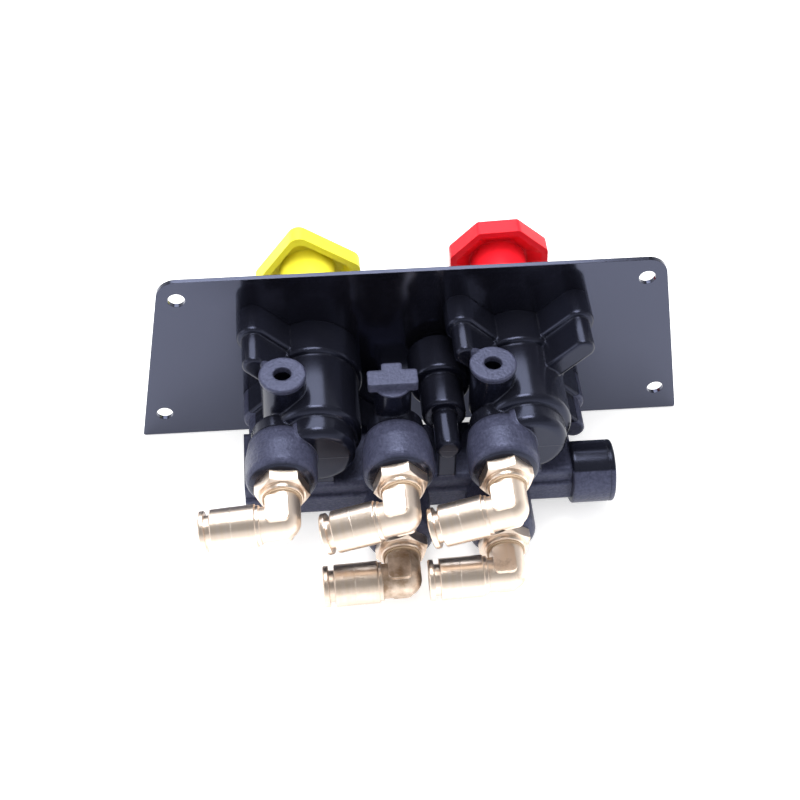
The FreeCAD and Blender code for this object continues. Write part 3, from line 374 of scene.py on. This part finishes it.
def shade(colour, factor=1.0, lift=0.0):
    """A colour made darker or lighter, with the fourth value that a socket wants."""
    return (*[min(1, value * factor + lift) for value in colour], 1)


def moulded_plastic(name, colour, roughness, grain_size=0.0004, dust=0.05, edge_round=0.0005):
    """A plastic with grain, wear and dust. Roughness is (shiniest, dullest)."""
    material, tree, shader = new_material(name)
    grain = use(tree, grain_group, Grain_Size=grain_size, Cloud_Size=0.018)
    edges = use(tree, edge_group, Radius=edge_round)
    dusty = use(tree, dust_group, Amount=dust)["Mask"]
    tone = blend(tree, grain["Cloud"], *[shade(colour, factor) for factor in CLOUD_SHADES])
    worn = blend(tree, edges["Mask"], tone, shade(colour, WORN_SHADE, WORN_LIFT))
    rough = ramp(tree, grain["Cloud"], 0.3, 0.7, *roughness)
    set_inputs(shader, Base_Color=blend(tree, dusty, worn, DUST_GREY),
               Roughness=calc(tree, "ADD", rough, dusty, clamp=True),
               Normal=bump(tree, grain["Height"], 0.5, FINE_DEPTH, edges["Normal"]))
    return material, tree, shader


print("moulded_plastic recipe ready")


# %% [markdown]
# ## Where each fitting sits
# Each elbow is turned to its own angle, and its finish follows that angle. The
# joints and mounts of the record already say where the elbows turn and which
# way their sockets face, so the places are read from there and not typed again.

# %% Read the fittings' places
SWIVEL = "elbow_swivel_"
SOCKET_AXES = {mount["name"].removeprefix("tube_socket_"): mount["axis"]
               for mount in RECORD["mounts"]}
corners = {}
turns = {}
for name, joint in JOINTS.items():
    if name.startswith(SWIVEL):
        fitting = name.removeprefix(SWIVEL)
        axis = SOCKET_AXES[fitting]
        corners[fitting] = tuple(joint["pos_m"])
        turns[fitting] = math.atan2(-axis[2], axis[0])
        print(fitting, "corner at", corners[fitting], "turned",
              round(math.degrees(turns[fitting]), 1))


# %% [markdown]
# ## Black plastic of the body
# The body is glass-filled nylon: near black with a cool cast, and smooth enough
# to mirror the lamps as soft streaks. Round each port and on top of the upright
# bosses the mould is eroded coarser. The bar, with what else lies as low, gets
# the same greyer colour, but there it is a painted sheen: it stands in for the
# light that the bar's top would mirror. A height finds the bar. A distance from
# each boss's own axis finds the others, so that the webs beside them stay smooth.

# %% Material: moulded body, its eroded zones and the bar's painted sheen
BODY_BLACK = (0.004, 0.0044, 0.0085)
BAR_TOP_Z = -0.0186
UPRIGHT_TOPS_FROM_Z = 0.0222
UPRIGHTS = (((0.0547, 0.0345, 0), 0.0098), ((-0.0287, 0.0345, 0), 0.0098),
            ((0.0117, 0.0405, 0), 0.0128))      # middle and radius, seen from the top
PORTS_FROM_Y = 0.0485
PORT_RADII = (0.0124, 0.0145)                   # just inside a port's skin, just outside it

body_black, tree, shader = moulded_plastic("moulded_black", BODY_BLACK, (0.15, 0.24),
                                           grain_size=0.0005, dust=0.02, edge_round=0.0013)


def distance(tree, place, point):
    """How far a place is from a point."""
    return add(tree, "ShaderNodeVectorMath", operation_="DISTANCE", in0=place,
               in1=point).outputs["Value"]


place = split(tree, object_place(tree))
from_top = add(tree, "ShaderNodeCombineXYZ", X=place["X"], Y=place["Y"]).outputs[0]
from_behind = add(tree, "ShaderNodeCombineXYZ", X=place["X"], Z=place["Z"]).outputs[0]
# From the bar down this mask paints a sheen, not a rougher skin.
coarse_and_sheen = past(tree, calc(tree, "MULTIPLY", place["Z"], -1.0), -BAR_TOP_Z, 0.0005)
high = past(tree, place["Z"], UPRIGHT_TOPS_FROM_Z, 0.0004)
for middle, radius in UPRIGHTS:
    outside = past(tree, distance(tree, from_top, middle), radius, 0.0003)
    top = calc(tree, "SUBTRACT", high, outside, clamp=True)
    coarse_and_sheen = calc(tree, "MAXIMUM", coarse_and_sheen, top)
far_back = past(tree, place["Y"], PORTS_FROM_Y, 0.002)
for x, _, z in corners.values():
    reach = distance(tree, from_behind, (x, 0, z))
    skin = calc(tree, "SUBTRACT", past(tree, reach, PORT_RADII[0], 0.0008),
                past(tree, reach, PORT_RADII[1], 0.0003), clamp=True)
    coarse_and_sheen = calc(tree, "MAXIMUM", coarse_and_sheen, calc(tree, "MULTIPLY", skin, far_back))
print("zones of the body:", len(tree.nodes), "nodes")

# %% [markdown]
# Where the skin is eroded it is greyer, mottled by its own pits, and duller. On
# the bar and below, that grey is a painted sheen. The pits are a deeper bump. A
# fine raised seam shows where the two halves of the mould met, level with the
# valves' axes.

# %% Eroded skin, painted sheen and seam of the body
# Greys of the eroded zones; on the bar and below they paint a sheen.
COARSE_AND_SHEEN_GREYS = ((0.03, 0.032, 0.056, 1), (0.052, 0.055, 0.093, 1))
COARSE_DULLER = 0.16
COOL_TINT = (0.6, 0.66, 1.0, 1)

pits = use(tree, grain_group, Grain_Size=0.0011, Cloud_Size=0.01, Seed=3.0)["Height"]
mottled = blend(tree, ramp(tree, pits, 0.35, 0.65), *COARSE_AND_SHEEN_GREYS)
seam = line_at_zero(tree, place["Z"], 0.00008, 0.0003)
pit_height = calc(tree, "MULTIPLY", pits, coarse_and_sheen)
pitted = bump(tree, pit_height, 0.8, 0.00034, source_of(shader, "Normal"))
set_inputs(shader, Base_Color=blend(tree, coarse_and_sheen, source_of(shader, "Base Color"), mottled),
           Roughness=calc(tree, "MULTIPLY_ADD", coarse_and_sheen, COARSE_DULLER,
                          source_of(shader, "Roughness"), clamp=True),
           Normal=bump(tree, seam, 0.6, 0.00008, pitted), Specular_Tint=COOL_TINT)
print("body material:", len(tree.nodes), "nodes")


# %% [markdown]
# ## Gloss black of the face plate
# The plate is steel with a smooth black paint. The paint is nearly black, so
# what shows is its mirror image of the body and the room: a raised index of
# refraction makes that image strong, and smudges and dust soften it. Paint also
# has a faint ripple, called orange peel, which is a low bump some millimetres
# across. On the cut edges the paint is thin, and they look a little paler.

# %% Material: plate paint
PAINT_BLACKS = ((0.003, 0.003, 0.005, 1), (0.006, 0.006, 0.009, 1))
THIN_PAINT = (0.04, 0.04, 0.045, 1)
PAINT_ROUGHNESS = (0.08, 0.18)
PAINT_IOR = 1.85

plate_black, tree, shader = new_material("plate_paint")
peel = use(tree, grain_group, Grain_Size=0.0025, Cloud_Size=0.03)
edges = use(tree, edge_group, Radius=0.0004)
dusty = use(tree, dust_group, Amount=0.1)["Mask"]
paint = blend(tree, peel["Cloud"], *PAINT_BLACKS)
gloss = ramp(tree, peel["Cloud"], 0.0, 1.0, *PAINT_ROUGHNESS)
set_inputs(shader, Base_Color=blend(tree, edges["Mask"], paint, THIN_PAINT),
           Roughness=calc(tree, "ADD", gloss, dusty, clamp=True),
           Normal=bump(tree, peel["Height"], 0.25, FINE_DEPTH, edges["Normal"]),
           IOR=PAINT_IOR, Specular_Tint=COOL_TINT)
print("plate paint:", len(tree.nodes), "nodes")


# %% [markdown]
# ## Knob plastic
# The knobs are satin coloured plastic. A little light goes into the plastic
# and comes out again, which keeps the shaded side of the yellow one warm. The
# recipe is the body's, with a finer grain and no dust.

# %% Materials: knobs
KNOB_ROUGHNESS = (0.3, 0.4)
KNOB_SHINE = 0.2


def knob_plastic(name, colour, share, spread):
    """Coloured plastic. A share of the light goes in and spreads, by colour, in metres."""
    material, _, shader = moulded_plastic(name, colour, KNOB_ROUGHNESS, dust=0.0)
    set_inputs(shader, Specular_IOR_Level=KNOB_SHINE, Subsurface_Weight=share,
               Subsurface_Radius=spread)
    return material


knob_yellow = knob_plastic("knob_yellow", (0.97, 0.83, 0.06), 0.15, (0.004, 0.003, 0.001))
knob_red = knob_plastic("knob_red", (0.9, 0.016, 0.03), 0.1, (0.004, 0.001, 0.001))
print("knob plastics:", knob_yellow.name, knob_red.name)


# %% [markdown]
# ## Brass of the fittings
# The elbows are forged and then turned, in a pale satin brass. The forged
# corner is finely blasted and has a faint flash line, while the barrel has
# lathe rings. Metal has no colour of its own under the shine: its base colour
# tints the reflections. The material first moves the coordinates to the elbow's
# corner and turns them, with X along the barrel. Handling leaves duller,
# browner patches, fewer on the polished barrel and most on the lower middle
# elbow.

# %% Recipe: brass
PALE_BRASS = (0.93, 0.80, 0.71, 1)
WARM_BRASS = (0.90, 0.75, 0.60, 1)
BROWN_BRASS = (0.36, 0.25, 0.17, 1)
RUBBED_BRASS = (0.95, 0.89, 0.82, 1)
BLASTED_ROUGHNESS = 0.4
TURNED_ROUGHNESS = 0.29
STAIN_CLOUDS = (0.72, 0.9)      # on clean brass, cloud values where a stain starts and is full
STAIN_GAINS = (0.45, 0.25)      # how far full tarnish lowers the two
STAIN_DULLER = 0.2
STAIN_ON_BARREL = 0.4           # how much of the stain is left on the turned barrel
BARREL_FROM_X = 0.0085


def brass(name, corner, rotation, tarnish, forged=True):
    """Satin brass. Tarnish runs from 0, clean, to 1, brown all over."""
    material, tree, shader = new_material(name)
    local = add(tree, "ShaderNodeMapping", vector_type_="TEXTURE", Vector=object_place(tree),
                Location=corner, Rotation=rotation).outputs[0]
    place = split(tree, local)
    lathe = use(tree, lathe_group, Position=local)
    blotch = use(tree, grain_group, Grain_Size=0.0002, Cloud_Size=0.007, Seed=10 * tarnish)
    edges = use(tree, edge_group, Radius=0.0003)
    starts, full = [value - gain * tarnish for value, gain in zip(STAIN_CLOUDS, STAIN_GAINS)]
    stain = ramp(tree, blotch["Cloud"], starts, full)
    turned = 1.0
    if forged:
        turned = past(tree, place["X"], BARREL_FROM_X, 0.0003)
        stain = calc(tree, "MULTIPLY", stain, ramp(tree, turned, 0.0, 1.0, 1.0, STAIN_ON_BARREL))
    stained = blend(tree, stain, blend(tree, lathe["Tone"], PALE_BRASS, WARM_BRASS), BROWN_BRASS)
    satin = blend_value(tree, turned, BLASTED_ROUGHNESS, TURNED_ROUGHNESS)
    texture = blend_value(tree, turned, blotch["Height"], lathe["Height"])
    normal = bump(tree, texture, 0.5, FINE_DEPTH, edges["Normal"])
    if forged:
        flash = line_at_zero(tree, place["Z"], 0.0001, 0.0004)
        flash = calc(tree, "MULTIPLY", flash, calc(tree, "SUBTRACT", 1.0, turned))
        normal = bump(tree, flash, 0.5, 0.00006, normal)
    set_inputs(shader, Base_Color=blend(tree, edges["Mask"], stained, RUBBED_BRASS), Metallic=1.0,
               Roughness=calc(tree, "MULTIPLY_ADD", stain, STAIN_DULLER, satin, clamp=True),
               Normal=normal)
    return material


print("brass recipe ready")

# %% Materials: brass fittings
TARNISH = {"left": 0.1, "middle": 0.15, "right": 0.2, "lower_middle": 1.0, "lower_right": 0.35}
ADAPTER_TARNISH = 0.45
ALONG_Y = (0, 0, math.radians(90))

fitting_brass = {fitting: brass("brass_" + fitting, corner, (0, turns[fitting], 0),
                                TARNISH[fitting])
                 for fitting, corner in corners.items()}
adapter_brass = brass("brass_adapters", (0, 0, 0), ALONG_Y, ADAPTER_TARNISH, forged=False)
print("brass materials:", sorted(fitting_brass))


# %% [markdown]
# ## Steel, rubber and plastic of the small pieces
# The stems, pins and screws are zinc plated steel, which is dull bright metal
# with faint rings. Seals are black rubber, and the piston and the poppet are
# white plastic. Most of them are inside, but the stems, the screws and the
# fittings' inner rings show from some sides.

# %% Materials: small pieces
def plated_steel(name, colour, rough):
    """Dull bright metal with faint rings about Y."""
    material, tree, shader = new_material(name)
    along = add(tree, "ShaderNodeMapping", vector_type_="TEXTURE", Vector=object_place(tree),
                Rotation=ALONG_Y).outputs[0]
    lathe = use(tree, lathe_group, Position=along, Ring_Width=0.0002)
    cloud = use(tree, grain_group, Grain_Size=0.0003, Cloud_Size=0.005)["Cloud"]
    edges = use(tree, edge_group, Radius=0.0002)
    set_inputs(shader, Base_Color=blend(tree, cloud, shade(colour, 0.8), shade(colour)),
               Metallic=1.0, Roughness=ramp(tree, cloud, 0.0, 1.0, rough - 0.1, rough + 0.12),
               Normal=bump(tree, lathe["Height"], 0.5, FINE_DEPTH, edges["Normal"]))
    return material


steel = plated_steel("plated_steel", (0.62, 0.62, 0.63), 0.32)
spring_steel = plated_steel("spring_steel", (0.40, 0.40, 0.42), 0.38)
rubber = moulded_plastic("seal_rubber", (0.02, 0.02, 0.02), (0.55, 0.7))[0]
acetal = moulded_plastic("white_acetal", (0.78, 0.77, 0.73), (0.35, 0.5), dust=0.0)[0]
acetal_black = moulded_plastic("black_acetal", (0.02, 0.02, 0.021), (0.3, 0.45))[0]
ring_brown = moulded_plastic("brown_ring", (0.5, 0.37, 0.25), (0.35, 0.5), dust=0.0)[0]
print("materials so far:", len(bpy.data.materials))


# %% [markdown]
# ## Give every CAD node its material
# The record names a material slot for each node. Most nodes take the material
# of their slot, and each elbow and its collet take their own brass. The CAD
# meshes stay as they are: only the material changes.

# %% Assign materials
SLOT_MATERIALS = {
    "plate_black": plate_black, "body_black": body_black, "acetal_black": acetal_black,
    "acetal": acetal, "knob_yellow": knob_yellow, "knob_red": knob_red, "brass": adapter_brass,
    "brass_dark": adapter_brass, "steel": steel, "spring_steel": spring_steel, "rubber": rubber,
    "ring_brown": ring_brown}
SLOT_OF = {part["node"]: part["material_slot"] for part in RECORD["subparts"]}
for node, obj in NODES.items():
    material = SLOT_MATERIALS[SLOT_OF[node]]
    piece, _, fitting = node.partition("_")
    if piece in ("elbow", "collet"):
        material = fitting_brass[fitting]
    obj.data.materials.clear()
    obj.data.materials.append(material)
print("materials on", len(NODES), "nodes")


# %% [markdown]
# ## Small shapes from Geometry Nodes
# What repeats is drawn by a small Geometry Nodes tree. Its inputs are named, so
# a row of marks or a spring can be changed without touching the nodes, and its
# result is kept as a plain mesh. Every such tree ends alike: its instances are
# made real and get their material.

# %% Helpers for Geometry Nodes
def new_geometry_tree(name, inputs):
    """An empty tree: inputs are (name, kind, default), and a material, Finish, is the last."""
    tree = bpy.data.node_groups.new(name, "GeometryNodeTree")
    for label, kind, value in inputs:
        tree.interface.new_socket(label, in_out="INPUT",
                                  socket_type="NodeSocket" + kind).default_value = value
    tree.interface.new_socket("Finish", in_out="INPUT", socket_type="NodeSocketMaterial")
    tree.interface.new_socket("Geometry", in_out="OUTPUT", socket_type="NodeSocketGeometry")
    return tree, tree.nodes.new("NodeGroupInput").outputs


def close_tree(tree, geometry, finish):
    """Make the instances real, give them their material and end the tree."""
    real = add(tree, "GeometryNodeRealizeInstances", Geometry=geometry)
    finished = add(tree, "GeometryNodeSetMaterial", Geometry=real.outputs["Geometry"],
                   Material=finish)
    add(tree, "NodeGroupOutput", Geometry=finished.outputs["Geometry"])
    print(tree.name, "has", len(tree.nodes), "nodes")


def plain_mesh(name, tree, values):
    """Run a tree with named values, and keep its result as a plain mesh."""
    source = add_object(name + "_source", bpy.data.meshes.new(name + "_source"))
    modifier = source.modifiers.new(name, "NODES")
    modifier.node_group = tree
    for item in tree.interface.items_tree:
        if item.name in values:
            modifier[item.identifier] = values[item.name]
    depsgraph = bpy.context.evaluated_depsgraph_get()
    mesh = bpy.data.meshes.new_from_object(source.evaluated_get(depsgraph))
    bpy.data.objects.remove(source)
    return add_object(name, mesh)


print("Geometry Nodes helpers ready")


# %% [markdown]
# ## Ejector marks
# A moulded part is pushed off its mould by pins, and each leaves a round mark.
# On this body they stand in a row under the bar: a line of points, a disc on
# each, and a slight change of size from pin to pin.

# %% Geometry Nodes tree: a row of discs
marks_tree, given = new_geometry_tree("ejector_marks", [
    ("Count", "Int", 6), ("Start", "Vector", (0, 0, 0)), ("Spacing", "Float", 0.02),
    ("Radius", "Float", 0.0025), ("Thickness", "Float", 0.0003), ("Seed", "Int", 4)])
step = add(marks_tree, "ShaderNodeCombineXYZ", X=given["Spacing"])
row = add(marks_tree, "GeometryNodeMeshLine", Count=given["Count"], Start_Location=given["Start"],
          Offset=step.outputs[0])
disc = add(marks_tree, "GeometryNodeMeshCylinder", Vertices=40, Radius=given["Radius"],
           Depth=given["Thickness"])
size = add(marks_tree, "FunctionNodeRandomValue", data_type_="FLOAT", in2=0.88, in3=1.0,
           Seed=given["Seed"])
placed = add(marks_tree, "GeometryNodeInstanceOnPoints", Points=row.outputs["Mesh"],
             Instance=disc.outputs["Mesh"], Scale=size.outputs[1])
close_tree(marks_tree, placed.outputs["Instances"], given["Finish"])

# %% Put the marks under the bar
BAR_BOTTOM_Z = -0.0365
ROW_START = (-0.053, 0.0305, BAR_BOTTOM_Z)
marks = plain_mesh("ejector_marks", marks_tree,
                   {"Count": 6, "Start": ROW_START, "Spacing": 0.0235, "Radius": 0.0025,
                    "Thickness": 0.0004, "Finish": body_black})
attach(marks, "module")
print("ejector marks:", len(marks.data.polygons), "faces")


# %% [markdown]
# ## Springs drawn as coils
# A solid model can't be squeezed, so at the end of a knob's stroke the CAD's
# return spring would pass through its piston. Here each CAD spring is hidden and
# drawn again as a coil of its own size.

# %% Geometry Nodes tree: a coil spring
spring_tree, given = new_geometry_tree("coil_spring", [
    ("Turns", "Float", 4.0), ("Coil Radius", "Float", 0.008), ("Wire Radius", "Float", 0.0009),
    ("Length", "Float", 0.02), ("Start", "Vector", (0, 0, 0))])
spiral = add(spring_tree, "GeometryNodeCurveSpiral", Resolution=36, Rotations=given["Turns"],
             Start_Radius=given["Coil Radius"], End_Radius=given["Coil Radius"],
             Height=given["Length"])
wire = add(spring_tree, "GeometryNodeCurvePrimitiveCircle", Resolution=12,
           Radius=given["Wire Radius"])
swept = add(spring_tree, "GeometryNodeCurveToMesh", Curve=spiral.outputs["Curve"],
            Profile_Curve=wire.outputs["Curve"], Fill_Caps=True)
lengthwise = add(spring_tree, "GeometryNodeTransform", Geometry=swept.outputs["Mesh"],
                 Translation=given["Start"], Rotation=(math.radians(-90), 0, 0))
smooth = add(spring_tree, "GeometryNodeSetShadeSmooth", Geometry=lengthwise.outputs["Geometry"])
close_tree(spring_tree, smooth.outputs["Geometry"], given["Finish"])

# %% Replace the three springs
SPRINGS = {"parking_return_spring": ("parking_push", 4.0, 0.0009),
           "trailer_return_spring": ("trailer_push", 4.0, 0.0009),
           "check_spring": ("check_lift", 3.0, 0.0005)}      # joint, turns, wire radius
for node, (joint, coils, wire_radius) in SPRINGS.items():
    low, high = (Vector(corner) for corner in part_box(node))
    middle = (low + high) / 2
    length = high.y - low.y
    spring = plain_mesh("shortening_" + node, spring_tree,
                        {"Turns": coils, "Coil Radius": (high.x - low.x) / 2 - wire_radius,
                         "Wire Radius": wire_radius, "Length": length - 2 * wire_radius,
                         "Start": (middle.x, low.y + wire_radius, middle.z),
                         "Finish": spring_steel})
    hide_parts(node)
    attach(spring, "module")
    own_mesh(spring)


# %% [markdown]
# ## Floor
# The photograph has a pure white ground and even, soft light. A big floor
# carries the shadow. It glows a little for the camera and for mirrors, so that
# it reaches white there without any extra light on the object.

# %% Build the floor
FLOOR_SIZE = 6.0
FLOOR_GLOW = 0.55
FLOOR_WHITE = (0.8, 0.8, 0.8, 1)


def seen_directly(tree):
    """A mask that is 1 where the camera, a mirror or glass sees the surface."""
    path = add(tree, "ShaderNodeLightPath").outputs
    seen = calc(tree, "MAXIMUM", path["Is Camera Ray"], path["Is Glossy Ray"])
    return calc(tree, "MAXIMUM", seen, path["Is Transmission Ray"])


half = FLOOR_SIZE / 2
floor = add_object("floor", bpy.data.meshes.new("floor"))
floor.data.from_pydata([(-half, -half, 0), (half, -half, 0), (half, half, 0), (-half, half, 0)],
                       [], [(0, 1, 2, 3)])
floor.location = (0, 0.1, cad_box[0][2] - 0.0002)
floor_paint, tree, shader = new_material("floor_white")
set_inputs(shader, Base_Color=FLOOR_WHITE, Roughness=0.9, Specular_IOR_Level=0.0,
           Emission_Color=(1, 1, 1, 1),
           Emission_Strength=calc(tree, "MULTIPLY", seen_directly(tree), FLOOR_GLOW))
floor.data.materials.append(floor_paint)
print("floor at z =", round(floor.location.z, 4))


# %% [markdown]
# ## A studio to mirror
# Black plastic and brass show little but what they mirror, so the room matters
# more than the lamps. It is white near the floor. From about twenty degrees up
# it darkens, most behind the plate, which draws the soft dark band along the
# middle of each brass barrel. The height of a direction is its Z, and Y says
# how far it points away from the plate; the world's own coordinates give both.
# As light on the object the same room is plainer.

# %% Room around the stage
ROOM_LOW = 1.0                  # brightness near the floor
ROOM_HIGH = (0.2, 0.3)          # overhead: behind the plate, on the fittings' side
ROOM_DARKENS = (0.3, 0.62)      # between these heights of a direction
PLAIN_LIGHT = (0.5, 1.3)        # as a light: behind the plate, on the fittings' side

world = bpy.data.worlds.new("studio")
bpy.context.scene.world = world
world.use_nodes = True
tree = world.node_tree
direction = split(tree, add(tree, "ShaderNodeTexCoord").outputs["Generated"])
upper = ramp(tree, direction["Y"], -0.2, 0.5, *ROOM_HIGH)
room = ramp(tree, direction["Z"], *ROOM_DARKENS, ROOM_LOW, upper, smooth=True)
plain = ramp(tree, direction["Y"], -0.5, 0.5, *PLAIN_LIGHT)
set_inputs(tree.nodes["Background"], Color=(1, 1, 1, 1),
           Strength=blend_value(tree, seen_directly(tree), plain, room))
print("room from", ROOM_LOW, "at the floor to", ROOM_HIGH, "overhead")


# %% [markdown]
# ## Lamps
# One large soft box hangs above, a little behind the plate. Its mirror image
# draws the white rings on rounded edges and the bright strip high on each
# barrel. A dimmer one stands behind the plate and lights what faces up, and a
# third, weak one fills the side. A lamp's watts follow from how bright its
# face is and from its area.

# %% Light the stage
LAMPS_POINT_AT = Vector((0, 0.04, 0))


def soft_box(name, place, size, brightness, colour=(1, 1, 1)):
    """A rectangular lamp whose face has a given brightness, where white paper is 1."""
    lamp = bpy.data.lights.new(name, "AREA")
    lamp.shape = "RECTANGLE"
    lamp.size, lamp.size_y = size
    lamp.energy = brightness * math.pi * lamp.size * lamp.size_y
    lamp.color = colour
    box = add_object(name, lamp)
    box.location = place
    box.rotation_euler = (Vector(place) - LAMPS_POINT_AT).to_track_quat("Z", "Y").to_euler()
    print(name, "gives", round(lamp.energy, 1), "W")


soft_box("top_box", (0.03, -0.16, 0.88), (0.42, 0.42), 12.0)
soft_box("back_box", (0.1, -0.62, 0.75), (0.75, 0.4), 4.0, (0.9, 0.93, 1.0))
soft_box("side_box", (0.9, 0.25, 0.5), (0.4, 0.4), 2.5, (0.95, 0.97, 1.0))
bpy.context.scene.view_settings.view_transform = "Standard"
